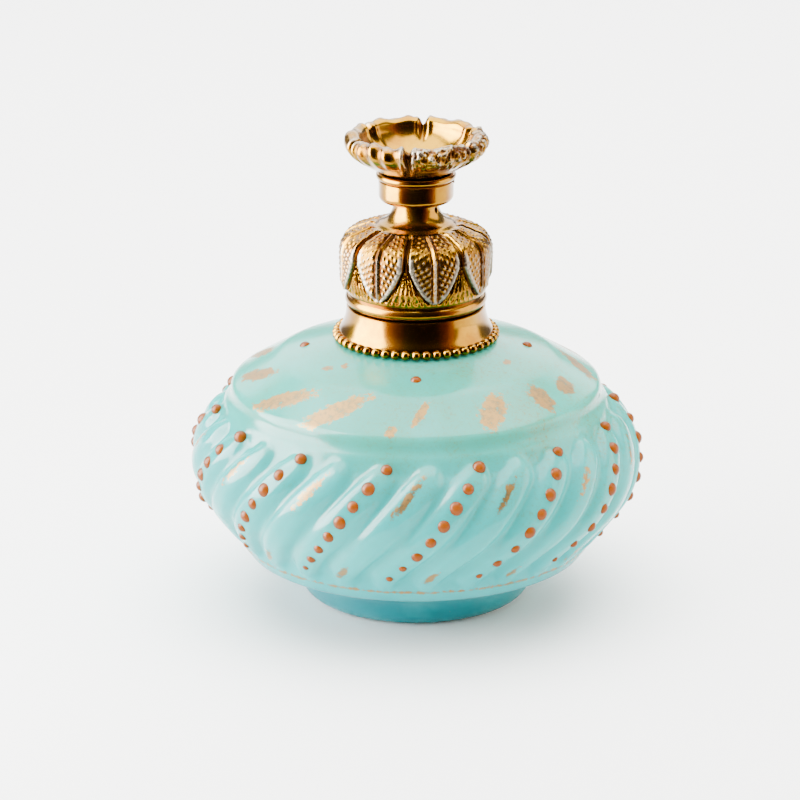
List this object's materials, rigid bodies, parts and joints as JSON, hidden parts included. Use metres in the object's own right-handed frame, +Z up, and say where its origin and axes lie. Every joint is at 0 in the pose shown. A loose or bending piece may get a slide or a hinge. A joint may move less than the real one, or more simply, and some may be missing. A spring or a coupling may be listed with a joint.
{
  "type": "perfume atomiser",
  "caption": "Squat glass perfume bottle with swirl ribs and enamel dots, gilt collar, leaf-embossed screw dome and a flower-topped finger pump.",
  "frame": {"origin": "middle of the foot's underside, on the surface it stands on", "axes": "+Z up along the bottle's axis, +X the way the nozzle points, -Y the side seen from the front"},
  "size_m": [0.0808, 0.0806, 0.0843],
  "materials": {
    "opaline_glass": "glossy turquoise opaline, nearly opaque",
    "enamel": "raised orange-brown fired enamel",
    "plaster": "matt setting plaster",
    "gilt_brass": "polished gilt, worn to silver on raised parts",
    "cork": "cork sheet",
    "brass": "turned brass",
    "steel": "bright steel",
    "clear_tube": "drawn clear tube",
    "packing": "greased cord packing",
    "leather": "oiled leather"
  },
  "bodies": {
    "bottle": {"glass_bottle": "opaline_glass", "enamel_dots": "enamel", "neck_plaster": "plaster", "neck_collar": "gilt_brass", "bead_wire": "gilt_brass"},
    "washer": {"sealing_washer": "cork"},
    "pump": {"pump_barrel": "brass", "inlet_cage": "brass", "dip_tube": "clear_tube", "gland_packing": "packing", "gland_nut": "brass", "return_spring": "steel"},
    "dome": {"leaf_dome": "gilt_brass"},
    "plunger": {"pump_stem": "steel", "piston_head": "brass", "piston_cup": "leather", "piston_screw": "brass"},
    "button": {"button_core": "brass", "spray_tube": "brass", "spray_nozzle": "steel", "drum_shell": "gilt_brass", "flower_cup": "gilt_brass", "stamen_rosette": "gilt_brass", "flower_screw": "brass"},
    "inlet_valve": {"inlet_ball": "steel"},
    "outlet_valve": {"outlet_ball": "steel"}
  },
  "joints": [
    {"name": "head_lift", "type": "slide", "parent": "bottle", "child": "washer", "axis": [0, 0, 1], "range_m": [0, 0.055]},
    {"name": "thread_rise", "type": "slide", "parent": "washer", "child": "pump", "axis": [0, 0, 1], "range_m": [0, 0.0025]},
    {"name": "cap_unscrew", "type": "hinge", "parent": "pump", "child": "dome", "pos_m": [0, 0, 0.0604], "axis": [0, 0, 1], "range_deg": [0, 900]},
    {"name": "button_press", "type": "slide", "parent": "pump", "child": "plunger", "axis": [0, 0, 1], "range_m": [-0.0025, 0], "stiffness_N_per_m": 300, "springref_m": 0.003, "deforming": ["return_spring"]},
    {"name": "button_turn", "type": "hinge", "parent": "plunger", "child": "button", "pos_m": [0, 0, 0.074], "axis": [0, 0, 1], "continuous": true},
    {"name": "inlet_ball_lift", "type": "slide", "parent": "pump", "child": "inlet_valve", "axis": [0, 0, 1], "range_m": [0, 0.0008]},
    {"name": "outlet_ball_lift", "type": "slide", "parent": "plunger", "child": "outlet_valve", "axis": [0, 0, 1], "range_m": [0, 0.0005]}
  ],
  "couplings": [
    {"joint": "thread_rise", "follows": "cap_unscrew", "m_per_rad": 0.00015915}
  ]
}
